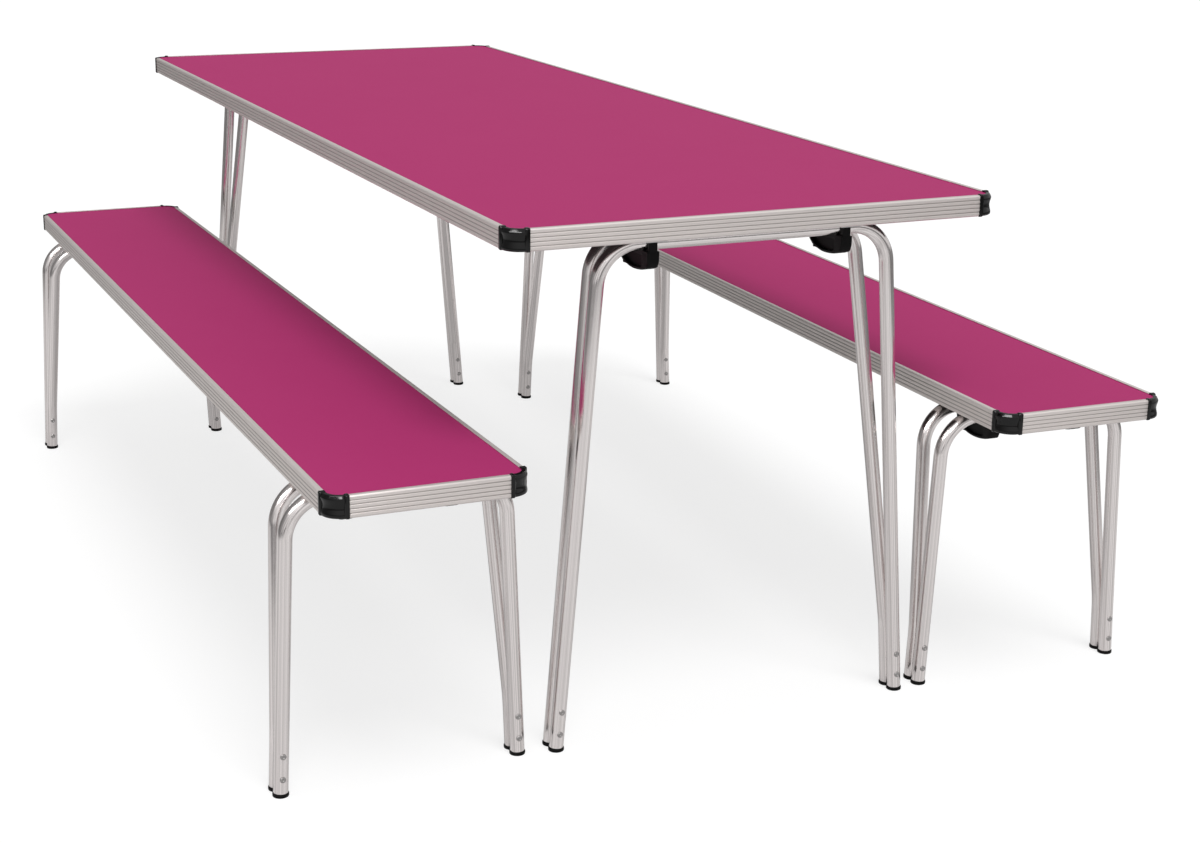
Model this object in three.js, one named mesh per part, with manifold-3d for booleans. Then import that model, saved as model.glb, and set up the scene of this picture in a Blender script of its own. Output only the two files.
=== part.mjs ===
// Folding cafeteria table with two loose folding benches: laminate-faced boards in ribbed
// aluminium edging, black corner caps, and twin-tube aluminium legs that fold under each board.
import * as THREE from 'three';
import { mergeVertices } from 'three/addons/utils/BufferGeometryUtils.js';
import Module from 'manifold-3d';

// Driving dimensions, in millimetres: +X is the front end, +Y the right-hand side, +Z up.
const TABLE = {
  name: 'table',
  board: 'top_board',
  length: 1830,
  width: 685,
  height: 698,
  outerBarInset: 48,
  footHalfGauge: 256,
  outerTopHalfGauge: 203,
  innerTopHalfGauge: 187,
  joinedLegLength: 95,
  catchHalfGauge: 137,
};
const BENCH = {
  board: 'seat_board',
  length: 1830,
  width: 254,
  height: 420,
  outerBarInset: 124,
  footHalfGauge: 157,
  outerTopHalfGauge: 140,
  innerTopHalfGauge: 135.5,
  joinedLegLength: 75,
  catchHalfGauge: 67,
};
const PLACES = [
  { unit: TABLE, x: 0, y: 0, turn: 0 },
  { unit: { ...BENCH, name: 'left_bench' }, x: 65, y: -459, turn: -0.25 },
  { unit: { ...BENCH, name: 'right_bench' }, x: 78, y: 480, turn: -1.85 },
];

const FIT_GAP = 0.3;

// Edging: a ribbed wall with a lip over the laminate and a flange under the board.
const EDGE_HEIGHT = 27.5;
const EDGE_WALL = 2.4;
const EDGE_ARRIS = 1.5;
const LIP_WIDTH = 7;
const LIP_THICK = 0.9;
const RIDGE_COUNT = 5;
const GROOVE_WIDTH = 1.6;
const GROOVE_DEPTH = 0.5;
const FLANGE_DEPTH = 18.4;
const FLANGE_THICK = 2;
const FLANGE_WIDTH = 12;
const SKIRT_RETURN = 9;

// Corner caps, which stand a little proud of the edging at their two end collars.
const CAP_RADIUS = 24;
const CAP_REACH = 28;
const CAP_COLLAR = 4;
const CAP_PROUD = 1.2;
const CAP_ARC_STEPS = 4;

// Leg tubes: two bent hoops to a leg frame, side by side at the feet and apart at the top.
const TUBE_RADIUS = 9.5;
const TUBE_BORE_RADIUS = 7.9;
const TUBE_SIDES = 10;
const TUBE_BORE_SIDES = 6;
const TUBE_BEND_RADIUS = 54;
const TUBE_BEND_STEPS = 5;
const TUBE_PITCH = 19.5;
const BAR_SPACING = 57;
const BAR_UNDER_EDGE = 10;
const TUBE_END_HEIGHT = 6.2;

// Twin feet: one moulding that plugs both tubes of a leg.
const FOOT_RADIUS = 10.4;
const FOOT_HEIGHT = 5;
const FOOT_BEVEL = 1.2;
const FOOT_PLUG_RADIUS = 6;
const FOOT_PLUG_HEIGHT = 9;
const FOOT_NECK_ANGLE = 30;
const FOOT_ARC_STEPS = 10;

// Catches: D-shaped levers that turn on the outer crossbar and hook over a ledge.
const CATCH_WIDTH = 16.5;
const CATCH_RING_RADIUS = 14;
const BAR_BORE_RADIUS = 10;
const BAR_BORE_SIDES = 12;
const CATCH_TAIL = 72;
const CATCH_TOP = 12;
const CATCH_BELLY = 38;
const CATCH_DEEPEST = -31;
const CATCH_FRONT_SWEEP = 60;
const CATCH_CHIN = 26;
const NOSE_TIP = 20;
const NOSE_LOW = 6.4;
const NOSE_HIGH = 9;

// Leg carriers: plates screwed under the board, with saddles for the inner bar and the ledge.
const CARRIER_THICK = 2;
const SADDLE_WALL = 2.4;
const SADDLE_LENGTH = 40;
const SADDLE_CLEAR = 10.5;
const SADDLE_ARC_STEPS = 6;
const LEDGE_TIP = 16.6;
const LEDGE_LOW = 4;
const LEDGE_HALF_LENGTH = 14;
const WEB_INNER = 22;
const CARRIER_TAIL = 78;
const CARRIER_MARGIN = 13;

const FINISH = {
  laminate: new THREE.MeshStandardMaterial({ color: 0xae3c70, roughness: 0.45, metalness: 0 }),
  edging: new THREE.MeshStandardMaterial({ color: 0xcdc6c1, roughness: 0.4, metalness: 1 }),
  tube: new THREE.MeshStandardMaterial({ color: 0xd6d0cc, roughness: 0.25, metalness: 1 }),
  cap: new THREE.MeshStandardMaterial({ color: 0x0b0a0a, roughness: 0.3, metalness: 0 }),
  nylon: new THREE.MeshStandardMaterial({ color: 0x0d0c0c, roughness: 0.5, metalness: 0 }),
  plate: new THREE.MeshStandardMaterial({ color: 0xb9bbbd, roughness: 0.45, metalness: 1 }),
};

const wasm = await Module();
wasm.setup();

const FRONT = 1;
const REAR = -1;
const SIDES = [-1, 1];

function solidOf(geometry) {
  const bare = geometry.clone();
  bare.deleteAttribute('normal');
  bare.deleteAttribute('uv');
  const merged = mergeVertices(bare, 1e-4);
  return new wasm.Manifold(new wasm.Mesh({
    numProp: 3,
    vertProperties: Float32Array.from(merged.attributes.position.array),
    triVerts: Uint32Array.from(merged.index.array),
  }));
}

function geometryOf(solid) {
  const mesh = solid.getMesh();
  const geometry = new THREE.BufferGeometry();
  geometry.setAttribute('position', new THREE.BufferAttribute(mesh.vertProperties, 3));
  geometry.setIndex(new THREE.BufferAttribute(mesh.triVerts, 1));
  geometry.computeVertexNormals();
  return geometry;
}

function shapeOf(points) {
  return new THREE.Shape(points.map(([x, y]) => new THREE.Vector2(x, y)));
}

function arcPoints(centreX, centreY, radius, fromDegrees, toDegrees, steps) {
  const points = [];
  for (let i = 0; i <= steps; i += 1) {
    const angle = THREE.MathUtils.degToRad(fromDegrees + ((toDegrees - fromDegrees) * i) / steps);
    points.push([centreX + radius * Math.cos(angle), centreY + radius * Math.sin(angle)]);
  }
  return points;
}

function circlePoints(radius, sides) {
  return arcPoints(0, 0, radius, 0, 360 - 360 / sides, sides - 1);
}

// A side view drawn in X and Z, given its thickness along Y about Y = 0.
function slab(shape, thickness) {
  const geometry = new THREE.ExtrudeGeometry(shape, { depth: thickness, bevelEnabled: false });
  return geometry.rotateX(Math.PI / 2).translate(0, thickness / 2, 0);
}

function block(lowX, highX, lowY, highY, lowZ, highZ) {
  const geometry = new THREE.BoxGeometry(highX - lowX, highY - lowY, highZ - lowZ);
  return geometry.translate((lowX + highX) / 2, (lowY + highY) / 2, (lowZ + highZ) / 2);
}

function roundedRectangle(halfX, halfY, radius, steps) {
  return [
    ...arcPoints(halfX - radius, halfY - radius, radius, 0, 90, steps),
    ...arcPoints(radius - halfX, halfY - radius, radius, 90, 180, steps),
    ...arcPoints(radius - halfX, radius - halfY, radius, 180, 270, steps),
    ...arcPoints(halfX - radius, radius - halfY, radius, 270, 360, steps),
  ];
}

// The bonded board: core and laminate face, rounded at the corners to sit inside the caps.
function boardGeometry(unit) {
  const inset = EDGE_WALL + FIT_GAP;
  const outline = roundedRectangle(
    unit.length / 2 - inset, unit.width / 2 - inset, CAP_RADIUS - inset, CAP_ARC_STEPS,
  );
  const top = -LIP_THICK - FIT_GAP;
  const bottom = -FLANGE_DEPTH + FIT_GAP;
  const board = new THREE.ExtrudeGeometry(shapeOf(outline), { depth: top - bottom, bevelEnabled: false });
  return board.translate(0, 0, unit.height + bottom);
}

// Section of the edging, with X measured outwards from the outer face and Y up from the top.
function edgeSection() {
  const ribbed = EDGE_HEIGHT - 2 * EDGE_ARRIS;
  const pitch = (ribbed + GROOVE_WIDTH) / RIDGE_COUNT;
  const points = [
    [-EDGE_ARRIS, 0], [-LIP_WIDTH, 0], [-LIP_WIDTH, -LIP_THICK], [-EDGE_WALL, -LIP_THICK],
    [-EDGE_WALL, -FLANGE_DEPTH], [-FLANGE_WIDTH, -FLANGE_DEPTH],
    [-FLANGE_WIDTH, -FLANGE_DEPTH - FLANGE_THICK], [-EDGE_WALL, -FLANGE_DEPTH - FLANGE_THICK],
    [-EDGE_WALL, FLANGE_THICK - EDGE_HEIGHT], [-SKIRT_RETURN, FLANGE_THICK - EDGE_HEIGHT],
    [-SKIRT_RETURN, -EDGE_HEIGHT], [-EDGE_ARRIS, -EDGE_HEIGHT],
  ];
  for (let ridge = 0; ridge < RIDGE_COUNT; ridge += 1) {
    const low = EDGE_ARRIS - EDGE_HEIGHT + ridge * pitch;
    const high = low + pitch - GROOVE_WIDTH;
    points.push([0, low], [0, high]);
    if (ridge < RIDGE_COUNT - 1) {
      const floorLow = high + GROOVE_WIDTH * 0.25;
      const floorHigh = high + GROOVE_WIDTH * 0.75;
      points.push([-GROOVE_DEPTH, floorLow], [-GROOVE_DEPTH, floorHigh]);
    }
  }
  return shapeOf(points);
}

// Four lengths of edging, tied inside the corner caps by the flange that runs on under the board.
function edgeFrameGeometry(unit) {
  const section = edgeSection();
  const flangeInset = EDGE_WALL + 2 * FIT_GAP;
  const flange = shapeOf(roundedRectangle(
    unit.length / 2 - flangeInset, unit.width / 2 - flangeInset, CAP_RADIUS - flangeInset, CAP_ARC_STEPS,
  ));
  const inner = [unit.length / 2 - FLANGE_WIDTH, unit.width / 2 - FLANGE_WIDTH];
  flange.holes.push(new THREE.Path(roundedRectangle(
    ...inner, CAP_RADIUS - FLANGE_WIDTH, CAP_ARC_STEPS,
  ).map(([x, y]) => new THREE.Vector2(x, y))));
  const flangeRing = new THREE.ExtrudeGeometry(flange, { depth: FLANGE_THICK, bevelEnabled: false });
  let frame = solidOf(flangeRing.translate(0, 0, unit.height - FLANGE_DEPTH - FLANGE_THICK));
  for (let side = 0; side < 4; side += 1) {
    const isEnd = side % 2 === 0;
    const reach = (isEnd ? unit.length : unit.width) / 2;
    const run = (isEnd ? unit.width : unit.length) - 2 * (CAP_REACH + FIT_GAP);
    const edging = slab(section, run).translate(reach, 0, unit.height).rotateZ((side * Math.PI) / 2);
    frame = frame.add(solidOf(edging));
  }
  return geometryOf(frame);
}

// Closed skin over a row of like-numbered sections, the first and last of them filled in.
function loft(sections, flatSection) {
  const count = flatSection.length;
  const positions = sections.flat().flatMap((point) => [point.x, point.y, point.z]);
  const index = [];
  for (let row = 0; row < sections.length - 1; row += 1) {
    for (let i = 0; i < count; i += 1) {
      const a = row * count + i;
      const b = row * count + ((i + 1) % count);
      index.push(a, b, b + count, a, b + count, a + count);
    }
  }
  const last = (sections.length - 1) * count;
  const contour = flatSection.map(([x, y]) => new THREE.Vector2(x, y));
  const faces = THREE.ShapeUtils.triangulateShape(contour, []);
  for (const [a, b, c] of faces) {
    index.push(c, b, a, last + a, last + b, last + c);
  }
  const geometry = new THREE.BufferGeometry();
  geometry.setAttribute('position', new THREE.Float32BufferAttribute(positions, 3));
  geometry.setIndex(index);
  return geometry;
}

// Section of a corner cap; the collar section stands proud of the plain one all round the outside.
function capSection(proud) {
  return [
    [-proud, -EDGE_ARRIS], [-proud, FLANGE_THICK - EDGE_HEIGHT],
    [EDGE_ARRIS - proud, -EDGE_HEIGHT - proud / 2], [SKIRT_RETURN, -EDGE_HEIGHT - proud / 2],
    [SKIRT_RETURN, FLANGE_THICK - EDGE_HEIGHT], [EDGE_WALL, FLANGE_THICK - EDGE_HEIGHT],
    [EDGE_WALL, -LIP_THICK], [LIP_WIDTH, -LIP_THICK], [LIP_WIDTH, proud], [EDGE_ARRIS - proud, proud],
  ];
}

// A corner cap about the centre of its rounded corner: collar, quarter round, collar.
function capGeometry() {
  const straight = CAP_REACH - CAP_RADIUS;
  const plain = capSection(0);
  const collar = capSection(CAP_PROUD);
  const stations = [
    { angle: 0, along: -straight, section: collar },
    { angle: 0, along: CAP_COLLAR - straight, section: collar },
  ];
  for (let i = 0; i <= CAP_ARC_STEPS; i += 1) {
    stations.push({ angle: (90 * i) / CAP_ARC_STEPS, along: 0, section: plain });
  }
  stations.push(
    { angle: 90, along: straight - CAP_COLLAR, section: collar },
    { angle: 90, along: straight, section: collar },
  );
  const sections = stations.map(({ angle, along, section }) => section.map(([depth, up]) => {
    const turn = THREE.MathUtils.degToRad(angle);
    const radius = CAP_RADIUS - depth;
    return new THREE.Vector3(
      radius * Math.cos(turn) - along * Math.sin(turn),
      radius * Math.sin(turn) + along * Math.cos(turn),
      up,
    );
  }));
  return loft(sections, plain);
}

// A route with a ring of the tube at each of its points, so straight runs stay single lengths.
class TubeRoute extends THREE.Curve {
  constructor(points) {
    super();
    this.points = points;
  }

  getPoint(t, target = new THREE.Vector3()) {
    const place = THREE.MathUtils.clamp(t, 0, 1) * (this.points.length - 1);
    const first = Math.min(Math.floor(place), this.points.length - 2);
    return target.lerpVectors(this.points[first], this.points[first + 1], place - first);
  }

  getUtoTmapping(u) {
    return u;
  }
}

// Points round a bend that is tangent to the two runs meeting at a corner.
function bendPoints(before, corner, after) {
  const into = corner.clone().sub(before).normalize();
  const out = after.clone().sub(corner).normalize();
  const turn = into.angleTo(out);
  const setback = TUBE_BEND_RADIUS * Math.tan(turn / 2);
  const start = corner.clone().addScaledVector(into, -setback);
  const inward = out.clone().addScaledVector(into, -Math.cos(turn)).normalize();
  const centre = start.clone().addScaledVector(inward, TUBE_BEND_RADIUS);
  const points = [];
  for (let i = 0; i <= TUBE_BEND_STEPS; i += 1) {
    const angle = (turn * i) / TUBE_BEND_STEPS;
    points.push(centre.clone()
      .addScaledVector(inward, -TUBE_BEND_RADIUS * Math.cos(angle))
      .addScaledVector(into, TUBE_BEND_RADIUS * Math.sin(angle)));
  }
  return points;
}

// One hoop: up one leg, across under the board and down the other leg.
function hoopGeometry(leg) {
  const mirrored = leg.map((point) => point.clone().multiply(new THREE.Vector3(1, -1, 1))).reverse();
  const top = leg[leg.length - 1];
  const route = [
    ...leg.slice(0, -1), ...bendPoints(leg[leg.length - 2], top, mirrored[0]),
    ...bendPoints(top, mirrored[0], mirrored[1]), ...mirrored.slice(1),
  ];
  const wall = shapeOf(circlePoints(TUBE_RADIUS, TUBE_SIDES));
  wall.holes.push(new THREE.Path(
    circlePoints(TUBE_BORE_RADIUS, TUBE_BORE_SIDES).map(([x, y]) => new THREE.Vector2(x, y)),
  ));
  return new THREE.ExtrudeGeometry(wall, { steps: route.length - 1, extrudePath: new TubeRoute(route) });
}

// Both hoops stand with their feet side by side; the inner one leans in towards its pivot bar.
function legPoints(unit, barHeight) {
  const lean = (unit.footHalfGauge - unit.outerTopHalfGauge) / barHeight;
  const splay = (height) => unit.footHalfGauge - lean * height;
  return {
    outer: [
      new THREE.Vector3(0, splay(TUBE_END_HEIGHT), TUBE_END_HEIGHT),
      new THREE.Vector3(0, unit.outerTopHalfGauge, barHeight),
    ],
    inner: [
      new THREE.Vector3(-TUBE_PITCH, splay(TUBE_END_HEIGHT), TUBE_END_HEIGHT),
      new THREE.Vector3(-TUBE_PITCH, splay(unit.joinedLegLength), unit.joinedLegLength),
      new THREE.Vector3(-BAR_SPACING, unit.innerTopHalfGauge, barHeight),
    ],
  };
}

// A foot under one leg: two round pads with a neck between them, and a plug up into each tube.
function footGeometry() {
  const radius = FOOT_RADIUS - FOOT_BEVEL;
  const outline = shapeOf([
    ...arcPoints(0, 0, radius, FOOT_NECK_ANGLE - 180, 180 - FOOT_NECK_ANGLE, FOOT_ARC_STEPS),
    ...arcPoints(-TUBE_PITCH, 0, radius, FOOT_NECK_ANGLE, 360 - FOOT_NECK_ANGLE, FOOT_ARC_STEPS),
  ]);
  const base = new THREE.ExtrudeGeometry(outline, {
    depth: FOOT_HEIGHT - 2 * FOOT_BEVEL,
    bevelThickness: FOOT_BEVEL,
    bevelSize: FOOT_BEVEL,
    bevelSegments: 1,
  });
  let foot = solidOf(base.translate(0, 0, FOOT_BEVEL));
  for (const x of [0, -TUBE_PITCH]) {
    const plug = new THREE.CylinderGeometry(FOOT_PLUG_RADIUS, FOOT_PLUG_RADIUS, FOOT_PLUG_HEIGHT + 1, 6);
    plug.rotateX(Math.PI / 2).translate(x, 0, FOOT_HEIGHT + (FOOT_PLUG_HEIGHT - 1) / 2);
    foot = foot.add(solidOf(plug));
  }
  return geometryOf(foot);
}

// A catch about the outer bar: a ring, a nose at the front that hooks the ledge, and a D-shaped tail
// whose underside curves up steeply at the back and slowly towards the front.
function catchGeometry() {
  const backSweep = CATCH_TAIL + CATCH_DEEPEST;
  const belly = arcPoints(0, 0, 1, 195, 316, 10).map(([along, up]) => [
    CATCH_DEEPEST + (along < 0 ? backSweep : CATCH_FRONT_SWEEP) * along,
    (CATCH_BELLY - CATCH_TOP) * up - CATCH_TOP,
  ]);
  const outline = shapeOf([
    ...belly, [CATCH_RING_RADIUS, -CATCH_CHIN], [CATCH_RING_RADIUS, NOSE_LOW], [NOSE_TIP, NOSE_LOW],
    [NOSE_TIP, NOSE_HIGH],
    ...arcPoints(0, 0, CATCH_RING_RADIUS, 50, 200, 8), [-CATCH_RING_RADIUS - 2, -CATCH_TOP],
    [-CATCH_TAIL, -CATCH_TOP],
  ]);
  outline.holes.push(new THREE.Path(
    circlePoints(BAR_BORE_RADIUS, BAR_BORE_SIDES).map(([x, y]) => new THREE.Vector2(x, y)),
  ));
  return slab(outline, CATCH_WIDTH);
}

// A leg carrier, seen from the side, is a plate with a saddle below it and a hooked front edge.
function carrierGeometry(unit) {
  const top = EDGE_HEIGHT + BAR_UNDER_EDGE - FLANGE_DEPTH;
  const under = top - CARRIER_THICK;
  const saddleRadius = BAR_BORE_RADIUS + SADDLE_WALL;
  const outline = shapeOf([
    [WEB_INNER + CARRIER_THICK, top], [-CARRIER_TAIL, top], [-CARRIER_TAIL, under],
    [-BAR_SPACING - saddleRadius, under],
    ...arcPoints(-BAR_SPACING, 0, saddleRadius, 180, 360, SADDLE_ARC_STEPS),
    [-BAR_SPACING + saddleRadius, under], [WEB_INNER, under], [WEB_INNER, LEDGE_LOW + CARRIER_THICK],
    [LEDGE_TIP, LEDGE_LOW + CARRIER_THICK], [LEDGE_TIP, LEDGE_LOW], [WEB_INNER + CARRIER_THICK, LEDGE_LOW],
  ]);
  const slot = [
    [-BAR_SPACING + BAR_BORE_RADIUS, under], [-BAR_SPACING - BAR_BORE_RADIUS, under],
    ...arcPoints(-BAR_SPACING, 0, BAR_BORE_RADIUS, 180, 360, SADDLE_ARC_STEPS),
  ];
  outline.holes.push(new THREE.Path(slot.map(([x, y]) => new THREE.Vector2(x, y))));
  const half = unit.catchHalfGauge + CARRIER_MARGIN;
  let carrier = solidOf(slab(outline, 2 * half));
  const saddleEnd = unit.catchHalfGauge - SADDLE_CLEAR;
  const saddleStart = saddleEnd - SADDLE_LENGTH;
  const past = 10;
  const saddleBack = -BAR_SPACING - saddleRadius - 1;
  const ledgeStart = unit.catchHalfGauge - LEDGE_HALF_LENGTH;
  const below = -saddleRadius - 1;
  const cuts = [
    block(saddleBack, -past, -saddleStart, saddleStart, below, under),
    block(saddleBack, -past, saddleEnd, half + past, below, under),
    block(saddleBack, -past, -half - past, -saddleEnd, below, under),
    block(-past, WEB_INNER + past, -ledgeStart, ledgeStart, below, under),
  ];
  for (const cut of cuts) {
    carrier = carrier.subtract(solidOf(cut));
  }
  return geometryOf(carrier);
}

function named(name, geometry, finish) {
  const mesh = new THREE.Mesh(geometry, finish);
  mesh.name = name;
  return mesh;
}

// Everything at one end of a board: both hoops, the feet, the catches and their carrier.
function legFrame(unit, end) {
  const frame = new THREE.Group();
  const where = `${unit.name}_${end === FRONT ? 'front' : 'rear'}`;
  const barHeight = unit.height - EDGE_HEIGHT - BAR_UNDER_EDGE;
  const { outer, inner } = legPoints(unit, barHeight);
  frame.add(named(`${where}_outer_tube`, hoopGeometry(outer), FINISH.tube));
  frame.add(named(`${where}_inner_tube`, hoopGeometry(inner), FINISH.tube));
  const carrier = named(`${where}_leg_carrier`, carrierGeometry(unit), FINISH.plate);
  carrier.position.z = barHeight;
  frame.add(carrier);
  for (const side of SIDES) {
    const hand = side * end < 0 ? 'left' : 'right';
    const foot = named(`${where}_${hand}_foot`, footGeometry(), FINISH.nylon);
    foot.position.y = side * outer[0].y;
    const lever = named(`${where}_${hand}_catch`, catchGeometry(), FINISH.nylon);
    lever.position.set(0, side * unit.catchHalfGauge, barHeight);
    frame.add(foot, lever);
  }
  const hub = new THREE.Group();
  frame.position.x = unit.length / 2 - unit.outerBarInset;
  hub.rotation.z = end === FRONT ? 0 : Math.PI;
  hub.add(frame);
  return hub;
}

// A whole table or bench: board, edging, four corner caps and a leg frame at each end.
function unitGroup(unit) {
  const group = new THREE.Group();
  group.add(named(`${unit.name}_${unit.board}`, boardGeometry(unit), FINISH.laminate));
  group.add(named(`${unit.name}_edge_frame`, edgeFrameGeometry(unit), FINISH.edging));
  const corners = [
    ['front_right', 1, 1], ['rear_right', -1, 1], ['rear_left', -1, -1], ['front_left', 1, -1],
  ];
  corners.forEach(([corner, alongX, alongY], quarter) => {
    const cap = named(`${unit.name}_${corner}_cap`, capGeometry(), FINISH.cap);
    cap.rotation.z = (quarter * Math.PI) / 2;
    cap.position.set(
      alongX * (unit.length / 2 - CAP_RADIUS), alongY * (unit.width / 2 - CAP_RADIUS), unit.height,
    );
    group.add(cap);
  });
  group.add(legFrame(unit, FRONT), legFrame(unit, REAR));
  return group;
}

// The set as it stands in use, with its origin on the floor under the middle of the whole.
const set = new THREE.Group();
for (const { unit, x, y, turn } of PLACES) {
  const group = unitGroup(unit);
  group.position.set(x, y, 0);
  group.rotation.z = THREE.MathUtils.degToRad(turn);
  set.add(group);
}
set.updateMatrixWorld(true);
const extent = new THREE.Box3().setFromObject(set, true);
const middle = extent.getCenter(new THREE.Vector3());
set.position.set(-middle.x, -middle.y, -extent.min.z);

export default set;
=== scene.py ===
# Folding cafeteria table with two loose benches. The sections follow the order in which a maker would
# put the set together: boards, edging, corner caps, leg hoops, feet, rivets, catches, carriers, screws.
import math

import bmesh
import bpy
from mathutils import Matrix, Vector


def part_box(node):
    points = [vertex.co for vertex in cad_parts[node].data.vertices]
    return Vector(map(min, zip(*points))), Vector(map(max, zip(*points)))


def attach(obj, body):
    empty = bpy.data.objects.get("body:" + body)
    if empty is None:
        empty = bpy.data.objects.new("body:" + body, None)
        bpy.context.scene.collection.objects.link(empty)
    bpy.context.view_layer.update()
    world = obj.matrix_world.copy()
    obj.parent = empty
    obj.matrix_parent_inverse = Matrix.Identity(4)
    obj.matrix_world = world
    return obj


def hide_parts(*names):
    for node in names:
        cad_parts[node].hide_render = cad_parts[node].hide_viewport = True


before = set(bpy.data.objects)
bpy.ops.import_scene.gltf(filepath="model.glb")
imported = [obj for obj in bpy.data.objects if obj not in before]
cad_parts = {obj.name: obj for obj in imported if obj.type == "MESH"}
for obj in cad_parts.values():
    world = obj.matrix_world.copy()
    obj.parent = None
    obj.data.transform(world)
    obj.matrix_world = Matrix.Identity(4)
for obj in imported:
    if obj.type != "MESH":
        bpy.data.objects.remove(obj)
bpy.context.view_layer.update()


# Boards
# Each top is a ply board with a magenta laminate pressed on its face; below it the board is coloured
# near-black, a painted shade for the shade under the top.
# Its corners are rounded, so that it slides into the edging and sits inside the corner caps.
mm = 0.001
sizes = {
    "table": {"length": 1830 * mm, "width": 685 * mm, "height": 698 * mm},
    "bench": {"length": 1830 * mm, "width": 254 * mm, "height": 420 * mm},
}
units = {
    "table": {"kind": "table", "turn": 0, "top": "table_top"},
    "left_bench": {"kind": "bench", "turn": -0.25, "top": "left_bench_seat"},
    "right_bench": {"kind": "bench", "turn": -1.85, "top": "right_bench_seat"},
}
cap_radius = 24 * mm
board_inset = 2.7 * mm
board_arris = 0.15 * mm
laminate_drop = 1.2 * mm
laminate_thick = 0.8 * mm
board_drop = 18.1 * mm
corner_steps = 16
hair = 0.1 * mm
merge_reach = 0.001 * mm
sharp_angle = math.radians(30)
crease_angle = math.radians(35)


class Tone:
    """A socket of a finish's node tree; sums of tones become Math nodes."""

    def __init__(self, tree, socket):
        self.tree = tree
        self.socket = socket

    def node(self, kind, settings=(), sockets=(), out=0):
        """Adds a node of any kind, with its settings first and then its sockets."""
        made = self.tree.nodes.new(kind)
        for key, value in dict(settings).items():
            setattr(made, key, value)
        for key, value in dict(sockets).items():
            if isinstance(value, Tone):
                self.tree.links.new(value.socket, made.inputs[key])
            else:
                made.inputs[key].default_value = value
        return Tone(self.tree, made.outputs[out])

    def sum(self, operation, first, second):
        return self.node("ShaderNodeMath", {"operation": operation}, {0: first, 1: second})

    def __add__(self, other):
        return self.sum("ADD", self, other)

    def __radd__(self, other):
        return self.sum("ADD", other, self)

    def __sub__(self, other):
        return self.sum("SUBTRACT", self, other)

    def __rsub__(self, other):
        return self.sum("SUBTRACT", other, self)

    def __mul__(self, other):
        return self.sum("MULTIPLY", self, other)

    def __rmul__(self, other):
        return self.sum("MULTIPLY", other, self)

    def vector_sum(self, operation, other):
        """A number from two vectors, such as their distance."""
        return self.node("ShaderNodeVectorMath", {"operation": operation}, {0: self, 1: other}, out="Value")

    def noise(self, scale, detail=2, roughness=0.5):
        return self.node(
            "ShaderNodeTexNoise", {},
            {"Vector": self, "Scale": scale, "Detail": detail, "Roughness": roughness},
        )

    def stretched(self, scale, turn=0):
        """Coordinates with a scale for each axis, for a pattern that runs one way."""
        return self.node(
            "ShaderNodeMapping", {"vector_type": "TEXTURE"},
            {"Vector": self, "Rotation": (0, 0, math.radians(turn)), "Scale": scale},
        )

    def between(self, dark, light):
        """A colour that runs from dark to light as the tone runs from 0 to 1."""
        return self.node("ShaderNodeMix", {"data_type": "RGBA"}, {0: self, 6: dark, 7: light}, out=2)

    def eased(self, dark_end, bright_end):
        """From 0 at the dark end to 1 at the bright end."""
        return self.node(
            "ShaderNodeMapRange", {"interpolation_type": "SMOOTHSTEP"},
            {"Value": self, "From Min": dark_end, "From Max": bright_end},
        )

    def bump(self, strength, distance):
        return self.node("ShaderNodeBump", {}, {"Height": self, "Strength": strength, "Distance": distance})

    def feed(self, shader, socket):
        self.tree.links.new(self.socket, shader.inputs[socket])


def new_finish(name, constants):
    """A finish with its fixed values set on the shader, and a tone of the place on the piece."""
    material = bpy.data.materials.new(name)
    material.use_nodes = True
    tree = material.node_tree
    shader = tree.nodes["Principled BSDF"]
    for socket, value in constants.items():
        shader.inputs[socket].default_value = value
    place = tree.nodes.new("ShaderNodeTexCoord").outputs["Object"]
    return material, shader, Tone(tree, place)


def size_of(unit):
    return sizes[units[unit]["kind"]]


def unit_place(unit):
    """Where a table or bench stands: its middle on the floor, and its turn."""
    low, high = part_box(f"{unit}_edge_frame")
    middle = (low + high) / 2
    turn = Matrix.Rotation(math.radians(units[unit]["turn"]), 4, "Z")
    return Matrix.Translation((middle.x, middle.y, 0)) @ turn


def begin(name):
    """Takes the primitive just added as a new piece and opens it for editing."""
    piece = bpy.context.object
    piece.name = name
    bpy.ops.object.transform_apply(location=True, rotation=True, scale=True)
    bpy.ops.object.mode_set(mode="EDIT")
    bpy.ops.mesh.select_mode(type="VERT")
    bpy.ops.mesh.select_all(action="SELECT")
    return piece


def choose_edges(test):
    """Selects the edges of the open piece that pass a test."""
    bpy.ops.mesh.select_mode(type="EDGE")
    bpy.ops.mesh.select_all(action="DESELECT")
    shape = bmesh.from_edit_mesh(bpy.context.object.data)
    for edge in shape.edges:
        if test(edge):
            edge.select_set(True)
    shape.select_flush_mode()
    bmesh.update_edit_mesh(bpy.context.object.data)


def is_level(edge):
    return abs(edge.verts[0].co.z - edge.verts[1].co.z) < hair


def close(piece, round_over=0, segments=2):
    """Ends the editing: seams merged, faces turned outwards, sharp edges rounded over."""
    bpy.ops.mesh.select_all(action="SELECT")
    bpy.ops.mesh.remove_doubles(threshold=merge_reach)
    bpy.ops.mesh.normals_make_consistent(inside=False)
    bpy.ops.object.mode_set(mode="OBJECT")
    if round_over:
        bevel = piece.modifiers.new("round_over", "BEVEL")
        bevel.width = round_over
        bevel.segments = segments
        bevel.limit_method = "ANGLE"
        bevel.angle_limit = sharp_angle
        bpy.ops.object.modifier_apply(modifier=bevel.name)
        bpy.ops.object.mode_set(mode="EDIT")
        bpy.ops.mesh.select_all(action="SELECT")
        bpy.ops.mesh.dissolve_degenerate(threshold=merge_reach)
        bpy.ops.object.mode_set(mode="OBJECT")
    bpy.ops.object.shade_smooth_by_angle(angle=crease_angle)
    return piece


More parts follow.
